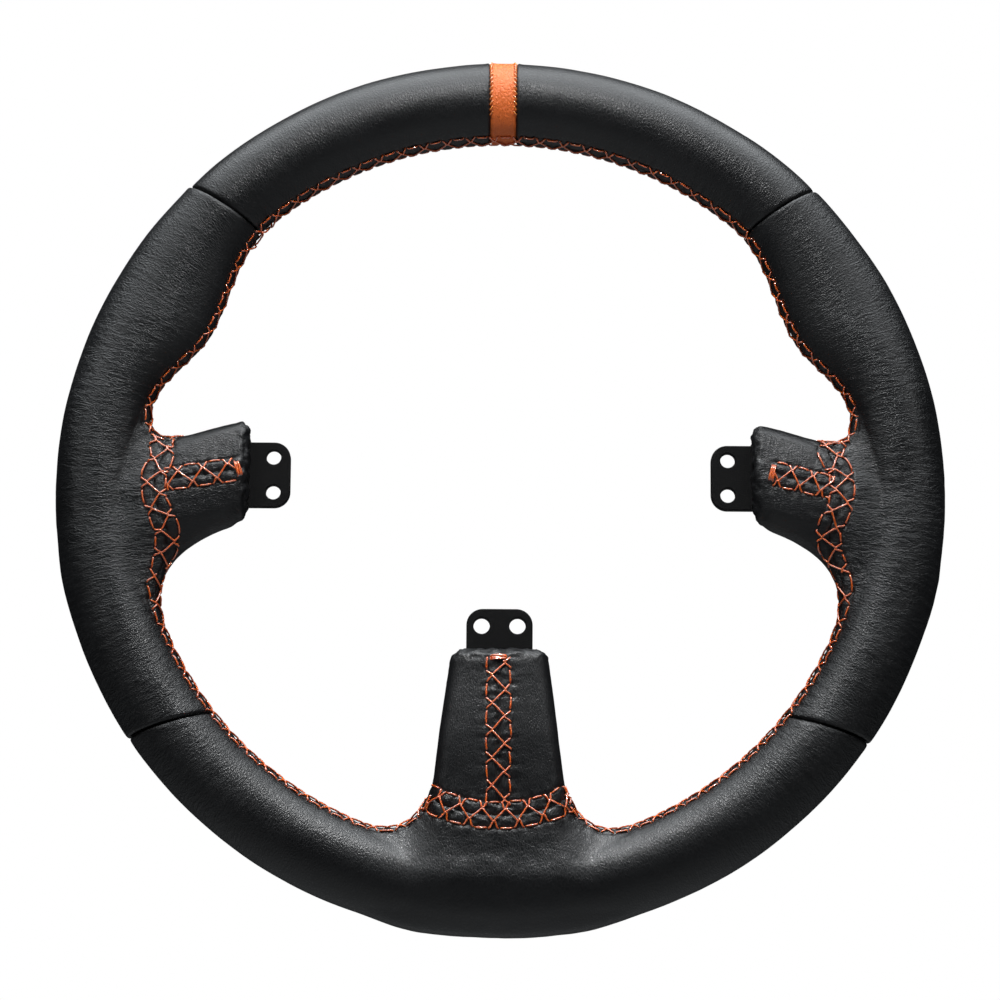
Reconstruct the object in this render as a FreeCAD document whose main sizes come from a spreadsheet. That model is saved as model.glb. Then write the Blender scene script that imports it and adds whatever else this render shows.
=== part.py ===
import FreeCAD, Part
import math
import os

import Sketcher

# Racing wheel rim: a steel armature (ring tube and three drilled plates) moulded into foam and
# wrapped in hand-laced leather. Millimetres, +Z up. The wheel stands in the XZ plane, the driver's
# face looks along -Y, and the origin is the centre of the rim.

VECTOR = FreeCAD.Vector
AXIS = VECTOR(0, 1, 0)
SKETCH_POINT = 1
SKETCH_CENTRE = 3

DIMENSIONS = [
    # rim section and its layers
    ("rim_radius", 136.0),
    ("rim_half_width", 14.0),
    ("rim_half_depth", 12.5),
    ("leather_thickness", 1.2),
    ("thread_gap", 0.05),
    ("thread_thickness", 0.65),
    # thumb grips, angles above the horizontal
    ("grip_start", 12.5),
    ("grip_peak", 28.5),
    ("grip_end", 50.0),
    ("grip_depth", 9.3),
    # armature
    ("tube_diameter", 12.0),
    ("tube_wall", 1.5),
    ("vent_diameter", 3.0),
    ("plate_thickness", 3.0),
    ("tab_width", 22.2),
    ("tab_corner", 5.5),
    ("hole_spacing", 12.0),
    ("hole_setback", 5.7),
    ("plate_flare_start", 96.0),
    ("plate_flare_end", 112.0),
    ("plate_root_width", 30.0),
    ("side_tab_tip", 70.9),
    ("side_tab_offset", 4.5),
    ("side_hole_diameter", 5.0),
    ("bottom_tab_tip", 40.9),
    ("bottom_tab_offset", 0.0),
    ("bottom_hole_diameter", 5.5),
    # leather panels
    ("marker_width", 8.7),
    ("upper_seam_angle", 45.5),
    ("upper_seam_slope", 33.6),
    ("lower_seam_angle", 36.6),
    ("lower_seam_slope", 18.2),
    # hand-sewn seams
    ("seam_tilt", 10.0),
    ("row_spacing", 8.4),
    ("lacing_width", 4.2),
    ("upper_run_end", 10.0),
    ("lower_run_start", 19.5),
    ("lower_run_end", 74.0),
]

# Spoke sections: distance out from the wheel's axis, low and high side, half depth, corner radius.
SIDE_SECTIONS = [
    ("end", 85.0, -12.6, 22.9, 7.5, 5.0),
    ("middle", 97.5, -16.9, 20.3, 9.0, 5.5),
    ("waist", 107.0, -22.9, 16.8, 10.2, 6.0),
    ("flare", 112.0, -30.3, 17.7, 10.6, 7.0),
    ("root", 130.0, -44.0, 24.0, 9.5, 7.0),
]
BOTTOM_SECTIONS = [
    ("end", 54.8, -16.1, 16.1, 7.5, 5.0),
    ("waist", 102.0, -22.2, 22.2, 10.2, 6.0),
    ("flare", 108.5, -25.2, 25.2, 10.5, 6.5),
    ("spread", 113.3, -31.0, 31.0, 10.6, 7.0),
    ("root", 130.0, -42.0, 42.0, 9.5, 7.0),
]
SECTION_FIELDS = ("out", "low", "high", "half_depth", "corner")

# Each spoke: its direction out from the axis, the direction across it, and its family of sections.
SPOKES = {
    "left": (VECTOR(-1, 0, 0), VECTOR(0, 0, 1), "side"),
    "right": (VECTOR(1, 0, 0), VECTOR(0, 0, 1), "side"),
    "bottom": (VECTOR(0, 0, -1), VECTOR(1, 0, 0), "bottom"),
}

# Seams on the front of a spoke as (out, across): the curve of its base seam, then the ends of its
# closing seam, hub end first.
SPOKE_SEAMS = {
    "side": (((113.5, 16.0), (116.0, 1.0), (110.0, -22.0)), ((88.0, 4.9), (109.5, 1.0))),
    "bottom": (((106.0, -22.0), (112.8, 0.0), (106.0, 22.0)), ((57.5, 0.0), (104.0, 0.0))),
}

document = FreeCAD.newDocument("racing_wheel")
sheet = document.addObject("Spreadsheet::Sheet", "Dimensions")


def fill_sheet():
    """Put every driving dimension in the sheet under its alias."""
    rows = list(DIMENSIONS)
    for family, sections in (("side", SIDE_SECTIONS), ("bottom", BOTTOM_SECTIONS)):
        for name, *values in sections:
            rows += [
                (f"{family}_{name}_{field}", value)
                for field, value in zip(SECTION_FIELDS, values)
            ]
    for row, (alias, value) in enumerate(rows, start=1):
        sheet.set(f"A{row}", alias)
        sheet.set(f"B{row}", str(value))
        sheet.setAlias(f"B{row}", alias)
    document.recompute()


def size(alias):
    """A dimension read back from the sheet."""
    return float(sheet.get(alias))


def bind(thing, name, expression):
    """Drive a property by sheet aliases, each written between angle marks."""
    thing.setExpression(name, expression.replace("<", "Dimensions.").replace(">", ""))


# ---------------------------------------------------------------- sketches and bodies


def new_body(name):
    body = document.addObject("PartDesign::Body", name)
    body.Label = name
    return body


def new_sketch(body, name, plane):
    """A sketch on one of the body's own origin planes."""
    sketch = body.newObject("Sketcher::SketchObject", name)
    origin = {feature.Role: feature for feature in body.Origin.OriginFeatures}
    sketch.AttachmentSupport = [(origin[plane], "")]
    sketch.MapMode = "FlatFace"
    return sketch


def constrain(sketch, kind, *references, drive):
    """Add a dimensional constraint and drive it by the sheet."""
    index = sketch.addConstraint(Sketcher.Constraint(kind, *references, 1.0))
    bind(sketch, f"Constraints[{index}]", drive)


def add_circle(sketch, x, y, diameter):
    """A circle whose centre and diameter follow sheet expressions; y None keeps it on the axis."""
    circle = sketch.addGeometry(Part.Circle(VECTOR(100, 5, 0), VECTOR(0, 0, 1), 2.0))
    constrain(sketch, "DistanceX", -1, SKETCH_POINT, circle, SKETCH_CENTRE, drive=x)
    if y is None:
        sketch.addConstraint(Sketcher.Constraint("PointOnObject", circle, SKETCH_CENTRE, -1))
    else:
        constrain(sketch, "DistanceY", -1, SKETCH_POINT, circle, SKETCH_CENTRE, drive=y)
    constrain(sketch, "Diameter", circle, drive=diameter)


def add_outline(sketch, corners):
    """A closed polygon whose corners follow (guess, expression) pairs in both directions."""
    count = len(corners)
    points = [VECTOR(x[0], y[0], 0) for x, y in corners]
    for index in range(count):
        sketch.addGeometry(Part.LineSegment(points[index], points[(index + 1) % count]))
    for index in range(count):
        following = (index + 1) % count
        sketch.addConstraint(Sketcher.Constraint("Coincident", index, 2, following, 1))
    for index, (x, y) in enumerate(corners):
        constrain(sketch, "DistanceX", -1, SKETCH_POINT, index, SKETCH_POINT, drive=x[1])
        constrain(sketch, "DistanceY", -1, SKETCH_POINT, index, SKETCH_POINT, drive=y[1])


def revolve(body, kind, sketch):
    """A full turn of the sketch about the wheel's axis, added or cut away."""
    feature = body.newObject(f"PartDesign::{kind}", sketch.Name + "_turn")
    feature.Profile = sketch
    feature.ReferenceAxis = (sketch, ["V_Axis"])
    feature.Angle = 360.0
    sketch.Visibility = False
    return feature


def make_rim_tube():
    """The ring tube of the armature, with one vent through its inner wall."""
    body = new_body("rim_tube")
    profile = new_sketch(body, "tube_profile", "XY_Plane")
    add_circle(profile, "<rim_radius>", None, "<tube_diameter>")
    add_circle(profile, "<rim_radius>", None, "<tube_diameter> - 2 * <tube_wall>")
    ring = revolve(body, "Revolution", profile)
    document.recompute()
    solid_volume = ring.Shape.Volume
    vent_sketch = new_sketch(body, "vent_profile", "YZ_Plane")
    circle = vent_sketch.addGeometry(Part.Circle(VECTOR(), VECTOR(0, 0, 1), 1.0))
    vent_sketch.addConstraint(Sketcher.Constraint("Coincident", circle, SKETCH_CENTRE, -1, 1))
    constrain(vent_sketch, "Diameter", circle, drive="<vent_diameter>")
    vent = body.newObject("PartDesign::Pocket", "vent")
    vent.Profile = vent_sketch
    vent.Type = "Length"
    vent.Reversed = True
    bind(vent, "Length", "<rim_radius>")
    document.recompute()
    if not 1.0 < solid_volume - vent.Shape.Volume < 40.0:
        raise RuntimeError("the vent does not open the inner wall of the tube")
    return body


def make_spoke_plate(side, family):
    """A steel plate from the ring tube to a drilled tab, drawn with X pointing out of the hub."""
    body = new_body(f"spoke_plate_{side}")
    tip, offset = f"<{family}_tab_tip>", f"<{family}_tab_offset>"
    low, high = f"{offset} - <tab_width> / 2", f"{offset} + <tab_width> / 2"
    root_low, root_high = "-<plate_root_width> / 2", "<plate_root_width> / 2"
    outline = new_sketch(body, f"plate_outline_{side}", "XZ_Plane")
    stations = [
        ((50, tip), (-10, low)),
        ((96, "<plate_flare_start>"), (-10, low)),
        ((112, "<plate_flare_end>"), (-15, root_low)),
        ((136, "<rim_radius>"), (-15, root_low)),
        ((136, "<rim_radius>"), (15, root_high)),
        ((112, "<plate_flare_end>"), (15, root_high)),
        ((96, "<plate_flare_start>"), (10, high)),
        ((50, tip), (10, high)),
    ]
    add_outline(outline, stations)
    pad = body.newObject("PartDesign::Pad", f"plate_{side}")
    pad.Profile = outline
    pad.Midplane = True
    bind(pad, "Length", "<plate_thickness>")
    document.recompute()

    holes = new_sketch(body, f"hole_outline_{side}", "XZ_Plane")
    for sign in ("-", "+"):
        across = f"{offset} {sign} <hole_spacing> / 2"
        add_circle(holes, f"{tip} + <hole_setback>", across, f"<{family}_hole_diameter>")
    drilled = body.newObject("PartDesign::Pocket", f"holes_{side}")
    drilled.Profile = holes
    drilled.Type = "ThroughAll"
    drilled.Midplane = True
    document.recompute()

    saddle_profile = new_sketch(body, f"saddle_profile_{side}", "XY_Plane")
    add_circle(saddle_profile, "<rim_radius>", None, "<tube_diameter>")
    saddle = revolve(body, "Groove", saddle_profile)
    document.recompute()

    corners = [
        f"Edge{number}"
        for number, edge in enumerate(saddle.Shape.Edges, start=1)
        if edge.BoundBox.YLength > 1.0
        and edge.BoundBox.XLength < 1e-6
        and edge.CenterOfMass.x < size(f"{family}_tab_tip") + 1e-6
    ]
    rounded = body.newObject("PartDesign::Fillet", f"tab_corners_{side}")
    rounded.Base = (saddle, corners)
    bind(rounded, "Radius", "<tab_corner>")
    document.recompute()

    hole_area = math.pi * (size(f"{family}_hole_diameter") / 2) ** 2
    expected = pad.Shape.Volume - 2 * hole_area * size("plate_thickness")
    if abs(drilled.Shape.Volume - expected) > 0.5 or saddle.Shape.Volume > drilled.Shape.Volume - 100:
        raise RuntimeError(f"the cuts in spoke plate {side} went wrong")
    turns = {"left": (AXIS.cross(VECTOR(1, 0, 0)), 180), "right": (AXIS, 0), "bottom": (AXIS, 90)}
    axis, angle = turns[side]
    body.Placement = FreeCAD.Placement(VECTOR(), FreeCAD.Rotation(axis, angle))
    return body


# ---------------------------------------------------------------- soft layers


def polar(radius, degrees, depth=0.0):
    """A point of the wheel plane by radius and angle above +X, at a depth along Y."""
    turn = math.radians(degrees)
    return VECTOR(radius * math.cos(turn), depth, radius * math.sin(turn))


def grip_bulge(degrees):
    """How far the rim swells inwards at an angle above the horizontal, for the thumb grips."""
    start, peak, end = size("grip_start"), size("grip_peak"), size("grip_end")
    if not start < degrees < end:
        return 0.0
    span = peak - start if degrees < peak else end - peak
    return size("grip_depth") * (0.5 + 0.5 * math.cos(math.pi * (degrees - peak) / span))


def rim_section(degrees, grow):
    """The oval of the rim's section at an angle, grown outwards by grow."""
    above = degrees if degrees <= 90 else 180 - degrees
    outer = size("rim_radius") + size("rim_half_width") + grow
    inner = size("rim_radius") - size("rim_half_width") - grip_bulge(above) - grow
    centre = polar((outer + inner) / 2, degrees)
    depth = VECTOR(0, size("rim_half_depth") + grow, 0)
    return Part.Wire(Part.Ellipse(polar(outer, degrees), centre + depth, centre).toShape())


def turned_rim(start, end, grow):
    """A plain stretch of the rim, turned about the wheel's axis."""
    face = Part.Face(rim_section(start, grow))
    return face.revolve(VECTOR(), -AXIS, end - start)


def grip_rim(angles, grow):
    """A stretch of the rim with a thumb grip, lofted through its sections."""
    return Part.makeLoft([rim_section(angle, grow) for angle in angles], True, False)


def spoke_section(side, station, grow):
    """The rounded rectangle of a spoke's section, grown by grow."""
    out, across, family = SPOKES[side]
    values = [size(f"{family}_{station}_{field}") for field in SECTION_FIELDS]
    distance, low, high, half_depth, corner = values
    if station == "end":
        distance -= grow
    low, high, top, corner = low - grow, high + grow, half_depth + grow, corner + grow
    centre = out * distance

    def place(along, depth):
        return centre + across * along + AXIS * depth

    slack = corner * (1 - math.sqrt(0.5))
    corners = [(high, top, -1, -1), (low, top, 1, -1), (low, -top, 1, 1), (high, -top, -1, 1)]
    arcs = []
    for index, (along, depth, inward, downward) in enumerate(corners):
        on_side = place(along, depth + downward * corner)
        on_face = place(along + inward * corner, depth)
        middle = place(along + inward * slack, depth + downward * slack)
        arcs.append((on_face, middle, on_side) if index % 2 else (on_side, middle, on_face))
    edges = []
    for index, (start, middle, end) in enumerate(arcs):
        edges.append(Part.Arc(start, middle, end).toShape())
        edges.append(Part.LineSegment(end, arcs[(index + 1) % 4][0]).toShape())
    return Part.Wire(edges)


def envelope(grow):
    """The rim and its three spokes as one solid, grown by grow from the leather's surface."""
    start, end = size("grip_start"), size("grip_end")
    steps = 10
    angles = [start + (end - start) * step / steps for step in range(steps + 1)]
    stretches = [
        turned_rim(end, 180 - end, grow),
        turned_rim(180 - start, 360 + start, grow),
        grip_rim(angles, grow),
        grip_rim([180 - angle for angle in angles], grow),
    ]
    for side, (_, _, family) in SPOKES.items():
        sections = SIDE_SECTIONS if family == "side" else BOTTOM_SECTIONS
        wires = [spoke_section(side, section[0], grow) for section in sections]
        stretches.append(Part.makeLoft(wires, True, True))
    return stretches[0].fuse(stretches[1:])


def new_shape(name, shape):
    """A helper object of the document that holds a shape."""
    holder = document.addObject("Part::Feature", name)
    holder.Shape = shape
    holder.Placement = FreeCAD.Placement()
    return holder


def boolean(kind, name, base, tool):
    """A cut or a common of two document objects."""
    result = document.addObject(f"Part::{kind}", name)
    result.Base = base
    result.Tool = tool
    result.Label = name
    return result


def prism(edges, near=-40.0, far=40.0):
    """A region of the wheel plane, given by edges at depth 0, as a solid from near to far."""
    face = Part.Face(Part.Wire(edges))
    face.translate(VECTOR(0, near, 0))
    return face.extrude(VECTOR(0, far - near, 0))


def polygon_edges(points):
    return Part.makePolygon(points + points[:1]).Edges


def seam_line(which, mirrored, reach=40.0):
    """The inner and outer end of the cut between two rim panels."""
    angle, slope = size(f"{which}_seam_angle"), size(f"{which}_seam_slope")
    if which == "lower":
        angle, slope = -angle, -slope
    if mirrored:
        angle, slope = 180 - angle, 180 - slope
    centre = polar(size("rim_radius"), angle)
    return centre - polar(reach, slope), centre + polar(reach, slope)


def mirror_x(points):
    return [VECTOR(-point.x, point.y, point.z) for point in points]


def panel_regions():
    """The regions of the wheel plane that belong to each rim panel."""
    far = 260.0
    half = size("marker_width") / 2
    upper_in, upper_out = seam_line("upper", True)
    lower_in, lower_out = seam_line("lower", True)
    left = [upper_in, upper_out, VECTOR(-far, 0, far), VECTOR(-far, 0, -far), lower_out, lower_in]
    marker_top, marker_foot = VECTOR(-half, 0, far), VECTOR(-half, 0, 60)
    top_left = [upper_in, upper_out, VECTOR(-far, 0, far), marker_top, marker_foot]
    lower_right = mirror_x([lower_out, lower_in])
    corners = [VECTOR(far, 0, -far), VECTOR(-far, 0, -far)]
    bottom = [lower_out, lower_in] + lower_right[::-1] + corners
    marker = [marker_foot, marker_top] + mirror_x([marker_top, marker_foot])
    return {
        "leather_left": left,
        "leather_right": mirror_x(left),
        "leather_top_left": top_left,
        "leather_top_right": mirror_x(top_left),
        "leather_bottom": bottom,
        "marker_band": marker,
    }


def wheel_point(side, station):
    """A point given as (out, across) of a spoke."""
    out, across, _ = SPOKES[side]
    return out * station[0] + across * station[1]


def base_circle(side):
    """Centre and radius of a spoke's base seam, and the three points it runs through."""
    points = [wheel_point(side, station) for station in SPOKE_SEAMS[SPOKES[side][2]][0]]
    circle = Part.Arc(*points).toShape().Curve
    return circle.Center, circle.Radius, points


def arc_at(side, offset):
    """The ends and middle of a curve beside a spoke's base seam, offset away from its centre."""
    centre, radius, points = base_circle(side)
    return [centre + (point - centre) * ((radius + offset) / radius) for point in points]


def base_band(side, offset, width):
    """A strip along a spoke's base seam."""
    inner, outer = arc_at(side, offset - width / 2), arc_at(side, offset + width / 2)
    edges = [
        Part.Arc(*inner).toShape(),
        Part.LineSegment(inner[2], outer[2]).toShape(),
        Part.Arc(*outer[::-1]).toShape(),
        Part.LineSegment(outer[0], inner[0]).toShape(),
    ]
    return prism(edges, far=-3.0)


def closing_band(side, offset, width):
    """A strip along a spoke's closing seam."""
    start, end = (wheel_point(side, station) for station in SPOKE_SEAMS[SPOKES[side][2]][1])
    across = (end - start).cross(AXIS).normalize()
    low, high = across * (offset - width / 2), across * (offset + width / 2)
    return prism(polygon_edges([start + low, end + low, end + high, start + high]), far=-3.0)


def cover_region(side):
    """The part of a spoke on the hub side of its base seam."""
    first, middle, last = arc_at(side, 0.0)
    out, across, _ = SPOKES[side]
    margin = 12.0
    width = across * (margin if (last - first).dot(across) > 0 else -margin)
    outer = [last, last + width, first - width, first]
    hub = [out * 35.0 + across * point.dot(across) for point in outer[1:3]]
    edges = [Part.Arc(first, middle, last).toShape()]
    corners = outer[:2] + hub + outer[2:]
    edges += [Part.LineSegment(*pair).toShape() for pair in zip(corners, corners[1:])]
    return prism(edges)


def slab_band(start, end, tilt, width):
    """A strip along the inner side of the rim, tilt degrees of its section towards the front."""
    half_depth = size("rim_half_depth")
    depth = -half_depth * math.sin(math.radians(tilt))
    half = width / 2 * math.cos(math.radians(tilt))
    reach = size("rim_radius") - 4.0
    clear = size("rim_radius") - size("rim_half_width") - size("grip_depth") - 4.0
    angles = (start, (start + end) / 2, end)
    outer = [polar(reach, angle) for angle in angles]
    inner = [polar(clear, angle) for angle in reversed(angles)]
    edges = [
        Part.Arc(*outer).toShape(),
        Part.LineSegment(outer[2], inner[0]).toShape(),
        Part.Arc(*inner).toShape(),
        Part.LineSegment(inner[2], outer[0]).toShape(),
    ]
    return prism(edges, depth - half, depth + half)


def make_threads(layer):
    """Every sewing thread: a lacing between two edge threads along each seam, and the marker's."""
    edge, lacing = size("thread_thickness"), size("lacing_width")
    row = size("row_spacing") / 2
    tilt = size("seam_tilt")
    row_tilt = math.degrees(row / size("rim_half_depth"))
    upper_end, lower_start = size("upper_run_end"), size("lower_run_start")
    lower_end = size("lower_run_end")
    runs = {
        "rim_upper": (upper_end, 180 - upper_end),
        "rim_lower_left": (180 + lower_start, 180 + lower_end),
        "rim_lower_right": (360 - lower_end, 360 - lower_start),
    }
    regions = {}
    for run, (start, end) in runs.items():
        regions[f"lacing_{run}"] = slab_band(start, end, tilt, lacing)
        regions[f"edge_thread_{run}_front"] = slab_band(start, end, tilt + row_tilt, edge)
        regions[f"edge_thread_{run}_back"] = slab_band(start, end, tilt - row_tilt, edge)
    for side in SPOKES:
        regions[f"lacing_spoke_base_{side}"] = base_band(side, 0.0, lacing)
        regions[f"edge_thread_spoke_base_{side}_rim"] = base_band(side, row, edge)
        regions[f"edge_thread_spoke_base_{side}_cover"] = base_band(side, -row, edge)
        regions[f"lacing_spoke_seam_{side}"] = closing_band(side, 0.0, lacing)
        regions[f"edge_thread_spoke_seam_{side}_a"] = closing_band(side, row, edge)
        regions[f"edge_thread_spoke_seam_{side}_b"] = closing_band(side, -row, edge)
    half = size("marker_width") / 2
    for side, sign in (("left", -1), ("right", 1)):
        low = VECTOR(sign * (half - edge / 2), 0, size("rim_radius") - 9.0)
        step = VECTOR(sign * edge, 0, 0)
        rise = VECTOR(0, 0, 40)
        outline = polygon_edges([low, low + step, low + step + rise, low + rise])
        regions[f"marker_thread_{side}"] = prism(outline)
    return [
        boolean("Common", name, layer, new_shape(f"region_{name}", region))
        for name, region in regions.items()
    ]


def make_leather(skin, plates):
    """The rim panels, the marker band and the spoke covers, all cut from one layer of leather."""
    covers = {side: new_shape(f"cover_region_{side}", cover_region(side)) for side in SPOKES}
    around = {"leather_left": "left", "leather_right": "right", "leather_bottom": "bottom"}
    parts = []
    for name, outline in panel_regions().items():
        region = new_shape(f"region_{name}", prism(polygon_edges(outline)))
        if name in around:
            region = boolean("Cut", f"rim_{name}", region, covers[around[name]])
        parts.append(boolean("Common", name, skin, region))
    for side, plate in plates.items():
        sleeve = boolean("Common", f"sleeve_{side}", skin, covers[side])
        parts.append(boolean("Cut", f"spoke_cover_{side}", sleeve, plate))
    return parts


def make_foam(core, plates):
    """The foam moulding, with the room that the armature takes in it."""
    cavity = document.addObject("Part::Torus", "tube_cavity")
    bind(cavity, "Radius1", "<rim_radius>")
    bind(cavity, "Radius2", "<tube_diameter> / 2")
    cavity.Placement = FreeCAD.Placement(VECTOR(), FreeCAD.Rotation(VECTOR(1, 0, 0), 90))
    foam = boolean("Cut", "foam_without_tube", core, cavity)
    for side, plate in plates.items():
        name = "foam_core" if side == "bottom" else f"foam_without_plate_{side}"
        foam = boolean("Cut", name, foam, plate)
    return foam


def check(parts):
    """Stop on any failed object or any sub-part that is not a sound solid."""
    failed = [
        thing.Label
        for thing in document.Objects
        if "Invalid" in thing.State or "Error" in thing.State
    ]
    if failed:
        raise RuntimeError(f"these objects failed: {', '.join(failed)}")
    for part in parts:
        shape = part.Shape
        if shape.isNull() or not shape.isValid() or shape.Volume <= 0:
            raise RuntimeError(f"{part.Label} has no sound shape")
        if len(shape.Solids) != 1:
            raise RuntimeError(f"{part.Label} is {len(shape.Solids)} solids, not one")


fill_sheet()
rim_tube = make_rim_tube()
spoke_plates = {
    side: make_spoke_plate(side, family) for side, (_, _, family) in SPOKES.items()
}
leather = size("leather_thickness")
lift = size("thread_gap")
foam_envelope = new_shape("foam_envelope", envelope(-leather))
leather_envelope = new_shape("leather_envelope", envelope(0.0))
thread_floor = new_shape("thread_floor", envelope(lift))
thread_envelope = new_shape("thread_envelope", envelope(lift + size("thread_thickness")))
skin_layer = boolean("Cut", "skin_layer", leather_envelope, foam_envelope)
thread_layer = boolean("Cut", "thread_layer", thread_envelope, thread_floor)

sub_parts = [rim_tube, *spoke_plates.values(), make_foam(foam_envelope, spoke_plates)]
sub_parts += make_leather(skin_layer, spoke_plates)
sub_parts += make_threads(thread_layer)
document.recompute()
check(sub_parts)

os.makedirs("parts", exist_ok=True)
for sub_part in sub_parts:
    sub_part.Shape.exportStep(os.path.join("parts", f"{sub_part.Label}.step"))
    print(f"{sub_part.Label}: {sub_part.Shape.Volume / 1000:.2f} cm3")
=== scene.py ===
import math
import random

import bpy
import numpy as np
from mathutils import Matrix, Vector, kdtree, noise


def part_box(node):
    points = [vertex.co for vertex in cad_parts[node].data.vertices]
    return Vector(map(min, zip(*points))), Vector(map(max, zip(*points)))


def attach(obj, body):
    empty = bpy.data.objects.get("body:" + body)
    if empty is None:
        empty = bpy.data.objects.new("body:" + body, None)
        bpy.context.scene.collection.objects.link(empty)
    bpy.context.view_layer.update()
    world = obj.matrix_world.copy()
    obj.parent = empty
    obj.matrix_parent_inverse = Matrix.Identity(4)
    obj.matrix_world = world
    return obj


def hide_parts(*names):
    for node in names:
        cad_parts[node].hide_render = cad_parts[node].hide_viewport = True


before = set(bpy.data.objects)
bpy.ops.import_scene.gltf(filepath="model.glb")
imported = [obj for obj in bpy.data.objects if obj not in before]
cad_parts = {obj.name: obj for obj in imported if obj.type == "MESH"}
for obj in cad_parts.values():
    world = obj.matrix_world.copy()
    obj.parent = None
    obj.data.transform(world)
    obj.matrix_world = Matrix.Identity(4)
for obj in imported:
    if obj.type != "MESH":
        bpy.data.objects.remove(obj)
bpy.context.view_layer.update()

MM = 0.001
rng = random.Random(12)

# ---------------------------------------------------------------- sizes, in millimetres

rim_low, rim_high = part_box("leather_bottom")
tube_low, tube_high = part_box("rim_tube")
OUTER = -rim_low.z / MM
HALF_DEPTH = rim_high.y / MM
TUBE_HALF = tube_high.y / MM
RIM = tube_high.x / MM - TUBE_HALF
HALF_WIDTH = OUTER - RIM
INNER = RIM - HALF_WIDTH
SIDE_END = -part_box("spoke_cover_left")[1].x / MM
BOTTOM_END = -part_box("spoke_cover_bottom")[1].z / MM
BAND_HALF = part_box("marker_band")[1].x / MM

GRIP_START, GRIP_PEAK, GRIP_END, GRIP_SWELL = 12.5, 28.5, 50.0, 9.3
UPPER_SEAM = (45.5, 33.6)
LOWER_SEAM = (-36.6, -18.2)
SEAM_TILT, UPPER_TILT = 6.0, 2.5
# a seam's sewing: stitch length, distance of each row of holes from the seam, pull of the lacing, its height
RIM_SEWING = (8.0, 3.9, 1.9, 0.6)
SIDE_SEWING = (8.4, 4.0, 2.1, 0.9)
BASE_SEWING = (7.8, 4.4, 2.5, 1.0)
SLIT_DEPTH = {"upper": 0.12, "left": 0.34, "right": 0.34, "base_bottom": 0.40}
CLOSING_SLIT = 0.55
DASH_SHARE = 0.42
HOLE_GAP = 0.8
SEAM_REACH = 11.0
LOOSE_LOOP = (-83.0, 88.0)
THREAD = 0.33
FOAM_DEPTH = 2.2
ROUGH_VOXEL, QUICK_VOXEL, FINE_VOXEL = 0.0022, 0.0010, 0.00057
# a spoke's closing seam: its ends as (distance out, place across), its sewing and where its stitches start
CLOSINGS = {
    "left": (((86.6, 5.2), (112.0, 0.8)), (8.4, 3.9, 1.9, 1.0), 2.0),
    "right": (((90.4, 5.0), (111.0, -0.3)), (7.3, 3.9, 1.9, 1.0), 1.6),
    "bottom": (((56.6, -0.2), (109.0, 0.0)), (9.2, 3.9, 1.9, 1.0), 5.0),
}
RIGHT_SHIFT = 1.9
BASE_BOTTOM = ((106.0, 23.4), (108.4, 17.0), (110.6, 9.0), (111.4, 0.0))


# ---------------------------------------------------------------- the leather's shape


def smooth_step(low, high, value):
    t = np.clip((value - low) / (high - low), 0.0, 1.0)
    return t * t * (3 - 2 * t)


def grip_swell(degrees):
    """How far the rim swells inwards at an angle above the horizontal."""
    span = np.where(degrees < GRIP_PEAK, GRIP_PEAK - GRIP_START, GRIP_END - GRIP_PEAK)
    wave = 0.5 + 0.5 * np.cos(np.pi * (degrees - GRIP_PEAK) / span)
    return GRIP_SWELL * np.where((degrees > GRIP_START) & (degrees < GRIP_END), wave, 0.0)


def rim_gap(p):
    """Distance from the rim's surface, negative inside."""
    radius = np.hypot(p[:, 0], p[:, 2])
    inner = INNER - grip_swell(np.degrees(np.arctan2(p[:, 2], np.abs(p[:, 0]))))
    centre, half = (OUTER + inner) / 2, (OUTER - inner) / 2
    across, depth = (radius - centre) / half, p[:, 1] / HALF_DEPTH
    size = np.hypot(across, depth)
    slope = np.hypot(across / half, depth / HALF_DEPTH) + 1e-9
    return size * (size - 1) / slope


def rounded_spoke(out, across, y, end, low, high, corner, camber, root=0.0, overlap=12.0):
    """Distance from a padded spoke: a box with rounded edges, a rounded hub end and domed faces.

    root is how much deeper it gets at the rim, and overlap how far short of the rim's centre line it stops.
    """
    middle, half = (low + high) / 2, (high - low) / 2
    half_depth = 8.2 + 2.6 * smooth_step(end, end + 34.0, out) + root * smooth_step(104.0, 126.0, out)
    half_depth = half_depth - camber * np.minimum(((across - middle) / half) ** 2, 1.5)
    gaps = np.stack([
        np.abs(across - middle) - half + corner,
        np.abs(y) - half_depth + corner,
        np.maximum(end + corner - out, out - RIM + overlap + corner),
    ])
    outside = np.linalg.norm(np.maximum(gaps, 0.0), axis=0)
    return outside + np.minimum(gaps.max(axis=0), 0.0) - corner


def merged(first, second, reach):
    """The nearer of two distances, rounded off where they meet."""
    overlap = np.maximum(reach - np.abs(first - second), 0.0) / reach
    return np.minimum(first, second) - overlap * overlap * reach / 4


def leather_gap(p):
    """Distance from the smooth leather surface of the rim and its three spokes."""
    x, y, z = p[:, 0], p[:, 1], p[:, 2]
    rim = rim_gap(p)
    face = smooth_step(0.35, 0.95, np.abs(y) / HALF_DEPTH)

    out = np.abs(x)
    along = np.maximum(out - SIDE_END, 0.0)
    low = -12.1 - 0.318 * along
    high = 22.8 - 0.10 * along - 0.0114 * along**2
    edge = 3.8 + 3.6 * smooth_step(4.0, -8.0, z)
    side = rounded_spoke(out, z, y, SIDE_END - 0.2, low, high, edge, 3.0)
    corner = 27.0 + 3.5 * smooth_step(10.0, -12.0, z)
    solid = merged(rim, side, corner * (1 - face) + 6.0 * face)

    out = -z
    half = 16.1 + 0.126 * np.maximum(out - BOTTOM_END, 0.0)
    foot = rounded_spoke(out, x, y, BOTTOM_END, -half, half, 4.8, 1.2, root=1.4, overlap=1.0)
    return merged(solid, foot, 23.6 * (1 - face) + 6.0 * face)


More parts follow.
